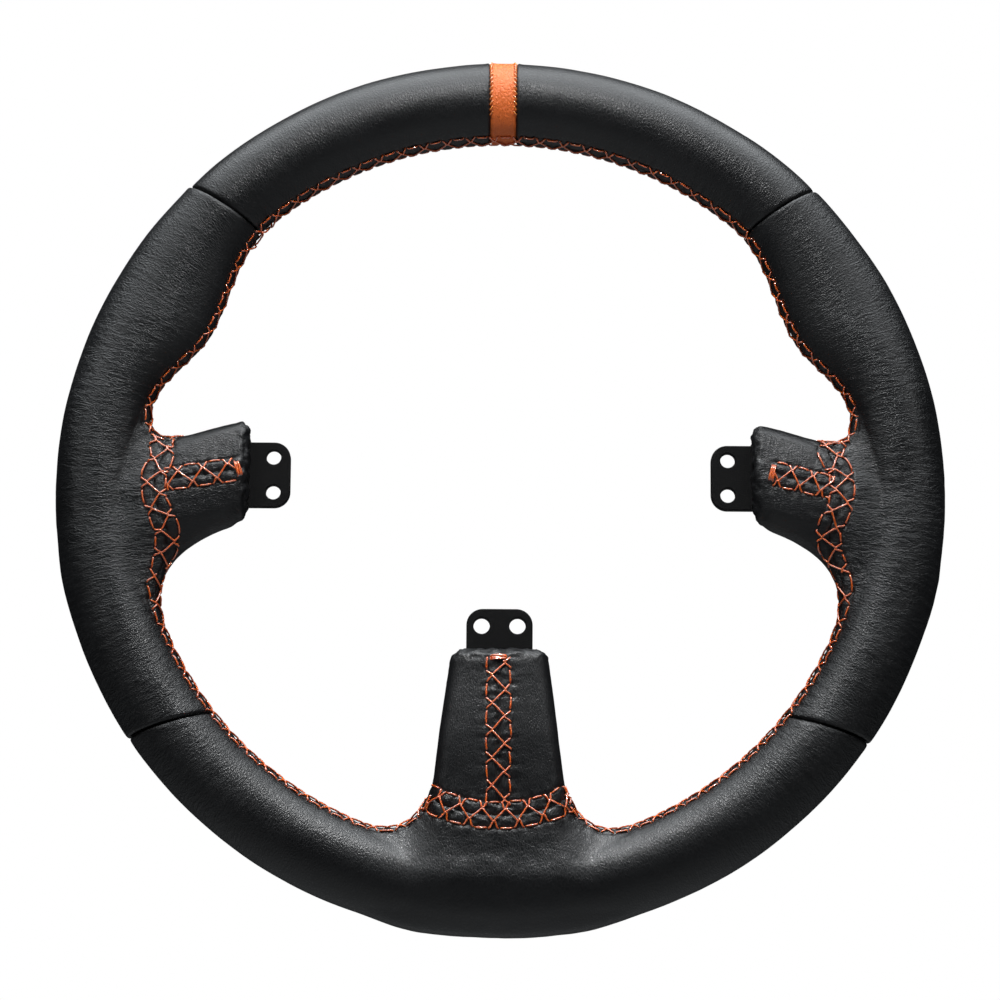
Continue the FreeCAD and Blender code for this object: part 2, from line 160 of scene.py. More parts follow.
def slope_of(p, step=0.02):
    """Outward direction of the leather surface at points near it."""
    slope = np.empty_like(p)
    for axis in range(3):
        shift = np.zeros(3)
        shift[axis] = step
        slope[:, axis] = (leather_gap(p + shift) - leather_gap(p - shift)) / (2 * step)
    return slope


def laid_on(p, rounds=5, depth=0.0):
    """Points moved onto the smooth leather surface or to a depth under it, with its outward normals."""
    p = np.array(p, float)
    for _ in range(rounds):
        slope = slope_of(p)
        step = (leather_gap(p) + depth) / (slope**2).sum(axis=1)
        p -= slope * np.clip(step, -3.0, 3.0)[:, None]
    slope = slope_of(p)
    return p, slope / np.linalg.norm(slope, axis=1)[:, None]


# ---------------------------------------------------------------- seams


def inner_point(degrees, tilt=SEAM_TILT):
    """A point of the rim's inner side, tilt degrees of its section towards the driver."""
    turn, lean = math.radians(degrees), math.radians(tilt)
    above = math.degrees(math.atan2(math.sin(turn), abs(math.cos(turn))))
    inner = INNER - float(grip_swell(np.array(above)))
    radius = (OUTER + inner) / 2 - (OUTER - inner) / 2 * math.cos(lean)
    return (radius * math.cos(turn), -HALF_DEPTH * math.sin(lean), radius * math.sin(turn))


class Seam:
    """A sewn seam: an even line of points on the leather, with its own directions and its sewing."""

    def __init__(self, name, points, sewing, start_stitch=0.0):
        fine = self.curved(np.array(points, float), 40)
        fine, _ = laid_on(fine)
        steps = np.linalg.norm(np.diff(fine, axis=0), axis=1)
        reach = np.concatenate([[0.0], np.cumsum(steps)])
        self.name = name
        self.length = reach[-1]
        self.step = 0.35
        self.at = np.arange(0.0, self.length, self.step)
        even = np.stack([np.interp(self.at, reach, fine[:, k]) for k in range(3)], axis=1)
        self.points, self.normals = laid_on(even)
        ahead = np.gradient(self.points, axis=0)
        ahead /= np.linalg.norm(ahead, axis=1)[:, None]
        self.sides = np.cross(self.normals, ahead)
        self.sides /= np.linalg.norm(self.sides, axis=1)[:, None]
        self.start_stitch = start_stitch
        self.stitch, self.row, self.pull, self.stand = sewing
        self.dash = self.stitch * DASH_SHARE
        self.tree = kdtree.KDTree(len(self.points))
        for index, point in enumerate(self.points):
            self.tree.insert(point, index)
        self.tree.balance()

    @staticmethod
    def curved(points, share):
        """A smooth line through the points."""
        padded = np.vstack([2 * points[0] - points[1], points, 2 * points[-1] - points[-2]])
        line = []
        for a, b, c, d in zip(padded, padded[1:], padded[2:], padded[3:]):
            for t in np.linspace(0, 1, share, endpoint=False):
                line.append(0.5 * (
                    2 * b + (c - a) * t + (2 * a - 5 * b + 4 * c - d) * t * t
                    + (3 * b - a - 3 * c + d) * t**3
                ))
        line.append(points[-1])
        return np.array(line)

    def place(self, along, aside, lift):
        """Points on the leather beside the seam, lifted off it."""
        along, aside = np.asarray(along, float), np.asarray(aside, float)
        spots = np.clip(along, 0.0, self.at[-1])
        where = [np.interp(spots, self.at, self.points[:, k]) for k in range(3)]
        sides = [np.interp(spots, self.at, self.sides[:, k]) for k in range(3)]
        point = np.stack(where, axis=1) + np.stack(sides, axis=1) * aside[:, None]
        point, normal = laid_on(point, 3)
        return point + normal * np.asarray(lift, float)[:, None]

    def near(self, p, reach):
        """For points within reach: their indices, distance along and signed distance aside."""
        low, high = self.points.min(axis=0) - reach, self.points.max(axis=0) + reach
        inside = np.nonzero(((p > low) & (p < high)).all(axis=1))[0]
        kept, along, aside = [], [], []
        for index in inside:
            _, spot, gap = self.tree.find(p[index])
            if gap > reach:
                continue
            offset = p[index] - self.points[spot]
            ahead = np.cross(self.sides[spot], self.normals[spot])
            kept.append(index)
            along.append(self.at[spot] + float(offset @ ahead))
            flat = float(offset @ self.sides[spot])
            aside.append(math.copysign(gap, flat) if gap > abs(flat) else flat)
        return np.array(kept, int), np.array(along), np.array(aside)


def mirrored(points):
    return [(-x, y, z) for x, y, z in points]


def side_base_points(shift):
    """The left spoke's base seam, shifted towards the hub, and the rim's inner seam below it."""
    face = [(-113.9, 16.2), (-114.7, 12.2), (-116.1, 4.1), (-115.8, -5.0), (-113.4, -11.2), (-110.8, -17.0)]
    points = [(-113.0, -5.0, 19.0)] + [(x + shift, -11.0, z) for x, z in face]
    points += [(-110.4 + shift / 2, -9.4, -22.8), (-112.4, -6.4, -29.0), (-115.2, -3.8, -36.5)]
    points += [inner_point(degrees) for degrees in range(204, 249, 4)]
    points += [(-36.5, -2.0, -115.2), (-30.6, -2.2, -111.0), (-26.4, -2.6, -106.4), (-24.4, -2.8, -102.6)]
    return points


def upper_points():
    turn = [inner_point(degrees, UPPER_TILT) for degrees in range(16, 165, 4)]
    start = [(109.6, 1.2, 17.0), (111.6, -1.8, 17.4), (114.2, -3.0, 19.6), (117.4, -1.8, 25.4)]
    return start + turn + mirrored(start)[::-1]


def closing_points(ends, side):
    (first, low), (last, high) = ends
    points = []
    for share in np.linspace(0, 1, 6):
        out, across = first + (last - first) * share, low + (high - low) * share
        if side == "bottom":
            points.append((across, -11.0, -out))
        else:
            points.append((-out if side == "left" else out, -11.0, across))
    return points


half_base = [(x, -11.0, -out) for out, x in BASE_BOTTOM]
bottom_base = [(-x, y, z) for x, y, z in half_base[:-1]] + half_base[::-1]
bottom_base = [(-25.4, -6.0, -104.2)] + bottom_base + [(25.4, -6.0, -104.2)]

SEAMS = {
    "upper": Seam("upper", upper_points(), RIM_SEWING),
    "left": Seam("left", side_base_points(0.0), SIDE_SEWING, 1.5),
    "right": Seam("right", mirrored(side_base_points(RIGHT_SHIFT)), SIDE_SEWING, 3.4),
    "base_bottom": Seam("base_bottom", bottom_base, BASE_SEWING, 0.9),
}
for side, (ends, sewing, first_stitch) in CLOSINGS.items():
    SEAMS[f"closing_{side}"] = Seam(f"closing_{side}", closing_points(ends, side), sewing, first_stitch)


def seam_relief(seam, along, aside):
    """Height of the leather beside a sewn seam: creased, drawn in at the holes, gathered outside."""
    gap = np.abs(aside)
    row = np.sign(aside)
    phase = 2 * np.pi * (along - seam.start_stitch) / seam.stitch
    beat = np.cos(phase - np.where(row > 0, 0.0, np.pi) - DASH_SHARE * np.pi)
    seed = 3.0 * len(seam.name)
    spots = list(zip(along, aside))
    puckers = np.array([noise.noise((a * 0.62, w * 0.26, seed)) for a, w in spots])
    folds = np.array([noise.noise((a * 0.30 + w * 0.5, w * 0.8, seed + 9)) for a, w in spots])
    drift = np.array([noise.noise((a * 0.22, 0.0, seed + 20)) for a in along])
    slit = np.abs(aside - 0.5 * drift)
    depth = SLIT_DEPTH.get(seam.name, CLOSING_SLIT)
    height = -depth * np.exp(-((slit / 0.36) ** 2)) - 0.2 * depth * np.exp(-((slit / 1.3) ** 2))
    pillow = np.clip(1 - ((gap - 2.0) / 2.0) ** 2, 0.0, 1.0)
    height += pillow * (0.20 + 0.12 * beat)
    height += (0.36 * puckers + 0.22 * folds) * np.exp(-((gap / seam.row) ** 4))
    height -= 0.24 * np.exp(-(((gap - seam.row) / 0.50) ** 2))
    hole = (along - seam.start_stitch) / (seam.stitch / 2)
    to_hole = (hole - np.round(hole)) * seam.stitch / 2
    height -= 0.36 * np.exp(-((to_hole / 0.6) ** 2) - ((gap - seam.row) / 0.5) ** 2)
    outside = np.clip(gap - seam.row, 0.0, None)
    gather = np.where(gap > seam.row, np.exp(-outside / 2.4), 0.0)
    height += gather * (0.06 - 0.16 * np.exp(-((to_hole / 0.9) ** 2)) + 0.26 * puckers)
    return height


PANEL_CUTS = {}


def panel_cut(name, seam, mirror, flip):
    """The flat cut between two rim panels, as a point and a direction across it."""
    angle, slope = (math.radians(v) for v in seam)
    centre = np.array([math.cos(angle), math.sin(angle)]) * RIM
    across = np.array([-math.sin(slope), math.cos(slope)]) * flip
    if mirror:
        centre[0] *= -1
        across[0] *= -1
    PANEL_CUTS[name] = (centre, across)


panel_cut("upper_right", UPPER_SEAM, False, 1)
panel_cut("upper_left", UPPER_SEAM, True, 1)
panel_cut("lower_right", LOWER_SEAM, False, -1)
panel_cut("lower_left", LOWER_SEAM, True, -1)


def cut_side(name, p):
    """Signed distance from a panel cut, positive towards the top or bottom panel."""
    centre, across = PANEL_CUTS[name]
    return (p[:, 0] - centre[0]) * across[0] + (p[:, 2] - centre[1]) * across[1]


def near_cut(name, p):
    """1 close to where a panel cut crosses the rim, 0 on the far side of the wheel."""
    centre, _ = PANEL_CUTS[name]
    return np.hypot(p[:, 0] - centre[0], p[:, 2] - centre[1]) < 30.0


def panel_relief(p):
    """Height of the leather at the cuts between panels: a tight fold with rolled edges."""
    height = np.zeros(len(p))
    for name in PANEL_CUTS:
        spots = np.nonzero(near_cut(name, p))[0]
        side = cut_side(name, p[spots])
        lean = np.array([noise.noise(Vector(p[i]) * 0.16 + Vector((7, 3, 1))) for i in spots])
        fold = -1.5 * np.exp(-((side / 0.34) ** 2)) - 0.22 * np.exp(-((side / 1.2) ** 2))
        full = 0.42 if name.startswith("upper") else 0.22
        thick = full * np.exp(-(np.clip(-side, 0, None) / 4.5)) * (side < 0)
        thin = -0.5 * full * np.exp(-(np.clip(side, 0, None) / 5.0)) * (side >= 0)
        height[spots] += fold + thick + thin + 0.35 * lean * np.exp(-((side / 3.0) ** 2))
    return height


def band_relief(p):
    """The marker band, slightly proud, with a fine groove on each side."""
    top = (p[:, 2] > 0) & (np.abs(p[:, 0]) < 14)
    gap = np.abs(np.abs(p[:, 0]) - BAND_HALF)
    groove = -0.85 * np.exp(-((gap / 0.42) ** 2)) + 0.16 * np.exp(-(((gap - 1.1) / 0.7) ** 2))
    return np.where(top, groove, 0.0)


def end_relief(p):
    """Folded, uneven leather where each spoke's cover is turned in around its steel plate."""
    side_out, bottom_out = np.abs(p[:, 0]), -p[:, 2]
    side = (np.abs(p[:, 2] - 5) < 26) & (side_out < SIDE_END + 12) & (side_out > SIDE_END - 4)
    foot = (np.abs(p[:, 0]) < 24) & (bottom_out < BOTTOM_END + 12) & (bottom_out > BOTTOM_END - 4)
    height = np.zeros(len(p))
    for mask, out, end in ((side, side_out, SIDE_END), (foot, bottom_out, BOTTOM_END)):
        spots = np.nonzero(mask)[0]
        back = out[spots] - end
        rough = np.array([noise.fractal(Vector(p[i]) * 0.34, 0.8, 2.1, 4) for i in spots])
        near = smooth_step(7.0, 0.3, back)
        fold = 0.25 * np.exp(-(((back - 2.2) / 0.9) ** 2))
        height[spots] += fold + rough * (0.06 + 0.62 * near**2)
    return height


def drape(p):
    """Broad, shallow unevenness of leather pulled over foam, stronger around the spokes."""
    root = np.exp(-((np.hypot(np.abs(p[:, 0]) - 122, p[:, 2] + 4) / 26) ** 2))
    root += np.exp(-((np.hypot(p[:, 0], p[:, 2] + 118) / 30) ** 2))
    waves, folds = np.empty(len(p)), np.empty(len(p))
    for index, point in enumerate(p):
        vector = Vector(point)
        waves[index] = noise.noise(vector * 0.045)
        folds[index] = noise.turbulence(vector * 0.13 + Vector((5, 1, 9)), 3, False)
    return 0.22 * waves + (0.04 + 0.20 * root) * (folds - 0.55)


# ---------------------------------------------------------------- mesh helpers


def clear_selection():
    if bpy.context.object and bpy.context.object.mode != "OBJECT":
        bpy.ops.object.mode_set(mode="OBJECT")
    bpy.ops.object.select_all(action="DESELECT")


def pick(piece):
    clear_selection()
    piece.select_set(True)
    bpy.context.view_layer.objects.active = piece


def vertices_of(piece):
    flat = np.empty(len(piece.data.vertices) * 3)
    piece.data.vertices.foreach_get("co", flat)
    return flat.reshape(-1, 3)


def set_vertices(piece, points):
    piece.data.vertices.foreach_set("co", points.ravel())
    piece.data.update()


def apply_place(piece):
    pick(piece)
    bpy.ops.object.transform_apply(location=True, rotation=True, scale=True)


def dress(piece, material, slot, *nodes):
    """Give a finished piece its material, put it under the root body and hide the CAD nodes it stands for;
    the slot is not used.
    """
    piece.data.materials.clear()
    piece.data.materials.append(material)
    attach(piece, "root")
    if nodes:
        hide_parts(*nodes)
    return piece


def mesh_piece(name, points, faces):
    mesh = bpy.data.meshes.new(name)
    mesh.from_pydata([tuple(v) for v in points], [], [tuple(int(i) for i in f) for f in faces])
    mesh.validate()
    piece = bpy.data.objects.new(name, mesh)
    bpy.context.scene.collection.objects.link(piece)
    return piece


# ---------------------------------------------------------------- materials


def new_group(name, inputs, outputs):
    """An empty shader group with float inputs (name, default) and named float outputs."""
    group = bpy.data.node_groups.new(name, "ShaderNodeTree")
    for label, default in inputs:
        socket = group.interface.new_socket(label, in_out="INPUT", socket_type="NodeSocketFloat")
        socket.default_value = default
    for label in outputs:
        group.interface.new_socket(label, in_out="OUTPUT", socket_type="NodeSocketFloat")
    return group, group.nodes.new("NodeGroupInput"), group.nodes.new("NodeGroupOutput")


def math_node(tree, operation, first, second=None, clamp=False):
    node = tree.nodes.new("ShaderNodeMath")
    node.operation = operation
    node.use_clamp = clamp
    for index, value in enumerate((first, second)):
        if value is None:
            continue
        if isinstance(value, (int, float)):
            node.inputs[index].default_value = value
        else:
            tree.links.new(value, node.inputs[index])
    return node.outputs[0]


def noise_node(tree, vector, scale, detail=4.0, roughness=0.55, distortion=0.0):
    node = tree.nodes.new("ShaderNodeTexNoise")
    node.inputs["Scale"].default_value = scale
    node.inputs["Detail"].default_value = detail
    node.inputs["Roughness"].default_value = roughness
    node.inputs["Distortion"].default_value = distortion
    tree.links.new(vector, node.inputs["Vector"])
    return node.outputs["Fac"]


def wrapped_coordinates(tree):
    """Coordinates that run round the wheel and across it, with their join behind the marker band."""
    coordinates = tree.nodes.new("ShaderNodeTexCoord").outputs["Object"]
    split = tree.nodes.new("ShaderNodeSeparateXYZ")
    tree.links.new(coordinates, split.inputs[0])
    x, y, z = split.outputs
    below = math_node(tree, "MULTIPLY", z, -1.0)
    turn = math_node(tree, "MULTIPLY", math_node(tree, "ARCTAN2", x, below), RIM * MM)
    squares = math_node(tree, "ADD", math_node(tree, "MULTIPLY", x, x), math_node(tree, "MULTIPLY", z, z))
    radius = math_node(tree, "SQRT", squares)
    join = tree.nodes.new("ShaderNodeCombineXYZ")
    for index, value in enumerate((turn, radius, y)):
        tree.links.new(value, join.inputs[index])
    return coordinates, join.outputs[0]


def scaled(tree, vector, scale):
    node = tree.nodes.new("ShaderNodeVectorMath")
    node.operation = "MULTIPLY"
    tree.links.new(vector, node.inputs[0])
    node.inputs[1].default_value = scale
    return node.outputs[0]


def leather_grain_group():
    """Leather grain: irregular pebbles and creases drawn out across the rim by the stretch of the wrap."""
    group, inputs, outputs = new_group(
        "leather_grain", [("Pebble size mm", 0.9), ("Crease", 0.5)], ["Height", "Patches", "Pores"]
    )
    coordinates, wrapped = wrapped_coordinates(group)
    scale = math_node(group, "DIVIDE", 1000.0, inputs.outputs["Pebble size mm"])
    warp = group.nodes.new("ShaderNodeTexNoise")
    warp.inputs["Scale"].default_value = 450.0
    warp.inputs["Detail"].default_value = 2.0
    group.links.new(coordinates, warp.inputs["Vector"])
    shift = group.nodes.new("ShaderNodeVectorMath")
    shift.operation = "MULTIPLY_ADD"
    group.links.new(warp.outputs["Color"], shift.inputs[0])
    shift.inputs[1].default_value = (0.0012, 0.0012, 0.0012)
    group.links.new(scaled(group, wrapped, (1.0, 0.62, 0.62)), shift.inputs[2])
    cells = group.nodes.new("ShaderNodeTexVoronoi")
    cells.feature = "DISTANCE_TO_EDGE"
    group.links.new(shift.outputs[0], cells.inputs["Vector"])
    group.links.new(scale, cells.inputs["Scale"])
    pebble = group.nodes.new("ShaderNodeMapRange")
    pebble.interpolation_type = "SMOOTHSTEP"
    pebble.inputs["From Max"].default_value = 0.30
    group.links.new(cells.outputs["Distance"], pebble.inputs["Value"])
    crease = noise_node(group, scaled(group, wrapped, (1.0, 0.24, 0.24)), 620.0, 4.0, 0.6, 0.9)
    ridge = math_node(group, "ABSOLUTE", math_node(group, "SUBTRACT", crease, 0.5))
    ridge = math_node(group, "MULTIPLY", math_node(group, "MINIMUM", ridge, 0.14), 7.0)
    ridge = math_node(group, "MULTIPLY", ridge, inputs.outputs["Crease"])
    patches = noise_node(group, coordinates, 38.0, 4.0, 0.6)
    ridge = math_node(group, "MULTIPLY", ridge, math_node(group, "MULTIPLY", patches, 2.0))
    fine = noise_node(group, coordinates, 2400.0, 3.0, 0.6)
    height = math_node(group, "MULTIPLY", pebble.outputs[0], 0.5)
    height = math_node(group, "ADD", height, math_node(group, "MULTIPLY", fine, 0.4))
    height = math_node(group, "ADD", height, ridge)
    group.links.new(height, outputs.inputs["Height"])
    group.links.new(patches, outputs.inputs["Patches"])
    group.links.new(math_node(group, "SUBTRACT", 1.0, pebble.outputs[0]), outputs.inputs["Pores"])
    return group


GRAIN = leather_grain_group()


def new_material(name):
    material = bpy.data.materials.new(name)
    material.use_nodes = True
    tree = material.node_tree
    return material, tree, tree.nodes["Principled BSDF"]


def colour_between(tree, share, first, second):
    mix = tree.nodes.new("ShaderNodeMix")
    mix.data_type = "RGBA"
    mix.inputs["A"].default_value = (*first, 1)
    mix.inputs["B"].default_value = (*second, 1)
    tree.links.new(share, mix.inputs["Factor"])
    return mix.outputs["Result"]


def surface_mark(tree, name):
    """A value kept on the mesh's points."""
    node = tree.nodes.new("ShaderNodeAttribute")
    node.attribute_name = name
    return node.outputs["Fac"]


def raise_surface(tree, shader, height, distance):
    bump = tree.nodes.new("ShaderNodeBump")
    bump.inputs["Distance"].default_value = distance
    tree.links.new(height, bump.inputs["Height"])
    tree.links.new(bump.outputs["Normal"], shader.inputs["Normal"])


def leather_material(name, dark, light, low_rough, high_rough, pebble=0.9, depth=0.000085):
    """Soft wrapped leather with grain and cloudy wear, and painted shade that darkens the colour in the
    creases along seams and panel cuts.
    """
    material, tree, shader = new_material(name)
    grain = tree.nodes.new("ShaderNodeGroup")
    grain.node_tree = GRAIN
    grain.inputs["Pebble size mm"].default_value = pebble
    tree.links.new(surface_mark(tree, "wrinkle"), grain.inputs["Crease"])
    # painted shade: the crease mark pulls the colour towards the dark end in the seams' slits and the panel
    # folds
    share = math_node(tree, "SUBTRACT", grain.outputs["Patches"], surface_mark(tree, "crease"), clamp=True)
    tree.links.new(colour_between(tree, share, dark, light), shader.inputs["Base Color"])
    rough = tree.nodes.new("ShaderNodeMapRange")
    rough.inputs["From Min"].default_value = 0.3
    rough.inputs["From Max"].default_value = 0.7
    rough.inputs["To Min"].default_value = low_rough
    rough.inputs["To Max"].default_value = high_rough
    tree.links.new(grain.outputs["Patches"], rough.inputs["Value"])
    pores = math_node(tree, "MULTIPLY", grain.outputs["Pores"], 0.10)
    tree.links.new(math_node(tree, "ADD", rough.outputs[0], pores), shader.inputs["Roughness"])
    raise_surface(tree, shader, grain.outputs["Height"], depth)
    return material


# leather tones: cloudy patches between the dark and light ends; the dark end is also the painted shade in the
# creases
BLACK_LEATHER = leather_material(
    "black_leather", (0.0030, 0.0032, 0.0037), (0.0068, 0.0073, 0.0083), 0.31, 0.39
)
ORANGE_LEATHER = leather_material(
    "orange_leather", (0.68, 0.118, 0.019), (0.88, 0.190, 0.032), 0.38, 0.46, 1.1, 0.00022
)


def thread_material(name, dark, light):
    """Waxed, twisted thread, with painted highlight on the raised plies and painted shade between them,
    varied in patches.
    """
    material, tree, shader = new_material(name)
    ply = surface_mark(tree, "ply")
    coordinates = tree.nodes.new("ShaderNodeTexCoord").outputs["Object"]
    patch = noise_node(tree, coordinates, 260.0, 3.0)
    # painted highlight and shade: the height on the ply lightens the raised plies and darkens the thread
    # between them
    share = math_node(tree, "MULTIPLY", ply, math_node(tree, "ADD", patch, 0.55), clamp=True)
    tree.links.new(colour_between(tree, share, dark, light), shader.inputs["Base Color"])
    fibre = noise_node(tree, coordinates, 7000.0, 2.0)
    raise_surface(tree, shader, fibre, 0.00003)
    shader.inputs["Roughness"].default_value = 0.5
    shader.inputs["Specular IOR Level"].default_value = 0.2
    shader.inputs["Coat Weight"].default_value = 1.0
    shader.inputs["Coat Roughness"].default_value = 0.11
    shader.inputs["Coat IOR"].default_value = 2.5
    return material


# thread colours: the dark end is painted shade between the plies, the light end painted highlight on them
ORANGE_THREAD = thread_material("orange_thread", (0.44, 0.012, 0.002), (1.0, 0.21, 0.018))
MARKER_THREAD = thread_material("marker_thread", (0.80, 0.13, 0.008), (1.0, 0.36, 0.03))


def plate_material():
    """Matt black powder coat with a fine orange-peel and slight rubbing."""
    material, tree, shader = new_material("black_powder_coat")
    coordinates = tree.nodes.new("ShaderNodeTexCoord").outputs["Object"]
    peel = noise_node(tree, coordinates, 1900.0, 3.0)
    rub = noise_node(tree, coordinates, 120.0, 5.0, 0.7)
    share = math_node(tree, "MULTIPLY", math_node(tree, "SUBTRACT", rub, 0.55, clamp=True), 3.0, clamp=True)
    coat = colour_between(tree, share, (0.0026, 0.0026, 0.0028), (0.0046, 0.0046, 0.0045))
    tree.links.new(coat, shader.inputs["Base Color"])
    rough = math_node(tree, "ADD", math_node(tree, "MULTIPLY", rub, 0.12), 0.46)
    tree.links.new(rough, shader.inputs["Roughness"])
    shader.inputs["Specular IOR Level"].default_value = 0.14
    raise_surface(tree, shader, peel, 0.00004)
    return material


def plain_material(name, colour, metallic, roughness, scale):
    """Hidden steel or foam, with a little unevenness."""
    material, tree, shader = new_material(name)
    coordinates = tree.nodes.new("ShaderNodeTexCoord").outputs["Object"]
    grain = noise_node(tree, coordinates, scale, 4.0)
    darker = tuple(0.6 * value for value in colour)
    tree.links.new(colour_between(tree, grain, darker, colour), shader.inputs["Base Color"])
    shader.inputs["Metallic"].default_value = metallic
    rough = math_node(tree, "ADD", math_node(tree, "MULTIPLY", grain, 0.2), roughness)
    tree.links.new(rough, shader.inputs["Roughness"])
    return material


BLACK_PLATE = plate_material()
STEEL = plain_material("drawn_steel", (0.42, 0.42, 0.43), 1.0, 0.3, 300.0)
FOAM = plain_material("moulded_foam", (0.015, 0.015, 0.016), 0.0, 0.75, 900.0)


# ---------------------------------------------------------------- the leather skin


def rough_form():
    """Rim and spokes as overlapping primitives, shaped onto the leather's surface and fused."""
    clear_selection()
    bpy.ops.mesh.primitive_torus_add(
        major_segments=240, minor_segments=40, major_radius=RIM * MM,
        minor_radius=(HALF_DEPTH - 1) * MM, rotation=(math.pi / 2, 0, 0),
    )
    form = bpy.context.object
    parts = [form]
    places = [((-(SIDE_END + 130) / 2, 0, 2), (130 - SIDE_END, 15, 32)),
              (((SIDE_END + 130) / 2, 0, 2), (130 - SIDE_END, 15, 32)),
              ((0, 0, -(BOTTOM_END + 130) / 2), (34, 15, 130 - BOTTOM_END))]
    for centre, size in places:
        bpy.ops.mesh.primitive_cube_add(
            size=1, location=[v * MM for v in centre], scale=[v * MM for v in size]
        )
        block = bpy.context.object
        bpy.ops.object.mode_set(mode="EDIT")
        bpy.ops.mesh.subdivide(number_cuts=14)
        bpy.ops.object.mode_set(mode="OBJECT")
        parts.append(block)
    clear_selection()
    for part in parts:
        part.select_set(True)
    bpy.context.view_layer.objects.active = form
    bpy.ops.object.join()
    apply_place(form)
    for _ in range(3):
        remesh(form, ROUGH_VOXEL)
    return form


def remesh(form, voxel):
    """Fuse a form into one even mesh and lay it on the leather's surface."""
    form.data.remesh_voxel_size = voxel
    form.data.remesh_voxel_adaptivity = 0.0
    pick(form)
    bpy.ops.object.voxel_remesh()
    for _ in range(2):
        bpy.ops.object.mode_set(mode="EDIT")
        bpy.ops.mesh.select_all(action="SELECT")
        bpy.ops.mesh.vertices_smooth(factor=0.5, repeat=5)
        bpy.ops.object.mode_set(mode="OBJECT")
        points, _ = laid_on(vertices_of(form) / MM, 6)
        set_vertices(form, points * MM)
    points, _ = laid_on(points, 2)
    set_vertices(form, points * MM)


def foam_padding(form):
    """The moulded foam under the leather."""
    pick(form)
    bpy.ops.object.duplicate()
    foam = bpy.context.object
    foam.name = "foam_padding"
    points, _ = laid_on(vertices_of(foam) / MM, 6, FOAM_DEPTH)
    set_vertices(foam, points * MM)
    foam.data.shade_smooth()
    dress(foam, FOAM, "foam_grey", "foam_core")


def slide_to_cut(points, edges, level):
    """Move the nearer end of every edge that crosses level 0 onto it, and return the new levels."""
    a, b = edges[:, 0], edges[:, 1]
    crossing = np.nonzero(level[a] * level[b] < 0)[0]
    order = np.argsort(np.minimum(np.abs(level[a[crossing]]), np.abs(level[b[crossing]])))
    moved = np.zeros(len(points), bool)
    start = points.copy()
    for edge in crossing[order]:
        first, second = a[edge], b[edge]
        if moved[first] or moved[second]:
            continue
        near, far = (first, second) if abs(level[first]) < abs(level[second]) else (second, first)
        share = level[near] / (level[near] - level[far])
        points[near] = start[near] + (start[far] - start[near]) * share
        moved[near] = True
    level = level.copy()
    level[moved] = 0.0
    return level


def split_at(faces, level):
    """Split each face that straddles level 0 along its two corners that lie on it."""
    kept = []
    for face in faces:
        signs = np.sign(level[list(face)])
        if len(face) == 4 and signs.max() > 0 and signs.min() < 0:
            on = [i for i in range(4) if signs[i] == 0]
            if len(on) == 2 and on[1] - on[0] == 2:
                i, j = on
                kept.append((face[i], face[i + 1], face[j]))
                kept.append((face[j], face[(j + 1) % 4], face[i]))
                continue
        kept.append(tuple(face))
    return kept


def base_cut(side, p):
    """Signed distance from a spoke's base seam, positive on the spoke's cover; -99 elsewhere."""
    seam = SEAMS["base_bottom" if side == "bottom" else side]
    if side == "bottom":
        out, across, reach = -p[:, 2], p[:, 0], 36.0
        inside = (np.abs(across) < reach) & (out < 124) & (out > 40)
    else:
        sign = -1 if side == "left" else 1
        out, across = sign * p[:, 0], p[:, 2]
        inside = (across > -33) & (across < 27) & (out < 124) & (out > 70)
    line = seam.points[seam.points[:, 1] < -7.5]
    if side != "bottom":
        line = line[(line[:, 2] > -27) & (line[:, 2] < 19)]
        run = line[:, 2]
        outs = np.abs(line[:, 0])
    else:
        run = line[:, 0]
        outs = -line[:, 2]
    order = np.argsort(run)
    edge = np.interp(across, run[order], outs[order])
    return np.where(inside, edge - out, -99.0)


def panel_at(centres):
    """The name of the leather panel that each face belongs to."""
    owner = np.full(len(centres), "leather_bottom", dtype=object)
    left, right = centres[:, 0] < 0, centres[:, 0] >= 0
    above = centres[:, 2] > 0
    top_left = above & left & (cut_side("upper_left", centres) > 0)
    top_right = above & right & (cut_side("upper_right", centres) > 0)
    low_left = ~above & left & (cut_side("lower_left", centres) > 0)
    low_right = ~above & right & (cut_side("lower_right", centres) > 0)
    owner[left & ~top_left & ~low_left] = "leather_left"
    owner[right & ~top_right & ~low_right] = "leather_right"
    owner[top_left] = "leather_top_left"
    owner[top_right] = "leather_top_right"
    owner[above & (np.abs(centres[:, 0]) < BAND_HALF)] = "marker_band"
    for side in ("left", "right", "bottom"):
        owner[base_cut(side, centres) > 0] = f"spoke_cover_{side}"
    return owner


def relief_and_marks(points):
    """Height of the leather over its smooth surface, and its marks: painted shade in the creases along seams
    and panel cuts, and how wrinkled it is.
    """
    height = panel_relief(points) + band_relief(points) + end_relief(points) + drape(points)
    crease = np.zeros(len(points))
    for seam in SEAMS.values():
        spots, along, aside = seam.near(points, SEAM_REACH)
        beyond = np.clip(np.maximum(-along, along - seam.length), 0, None)
        fade = np.exp(-((beyond / 1.2) ** 2))
        height[spots] += seam_relief(seam, along, aside) * fade
        # painted shade along the slit of each seam
        crease[spots] = np.maximum(crease[spots], np.exp(-((aside / 0.9) ** 2)) * fade)
    # painted shade in the fold of each panel cut
    for name in PANEL_CUTS:
        side = np.where(near_cut(name, points), cut_side(name, points), 99.0)
        crease = np.maximum(crease, np.exp(-((side / 0.8) ** 2)))
    radius = np.hypot(points[:, 0], points[:, 2])
    on_grips = smooth_step(50.0, 115.0, np.abs(points[:, 0])) * smooth_step(INNER - 16.0, INNER - 2.0, radius)
    stretched = 0.6 * smooth_step(20.0, 95.0, points[:, 2])
    return height, {"crease": crease, "wrinkle": 0.30 + 0.90 * on_grips * (1 - stretched)}


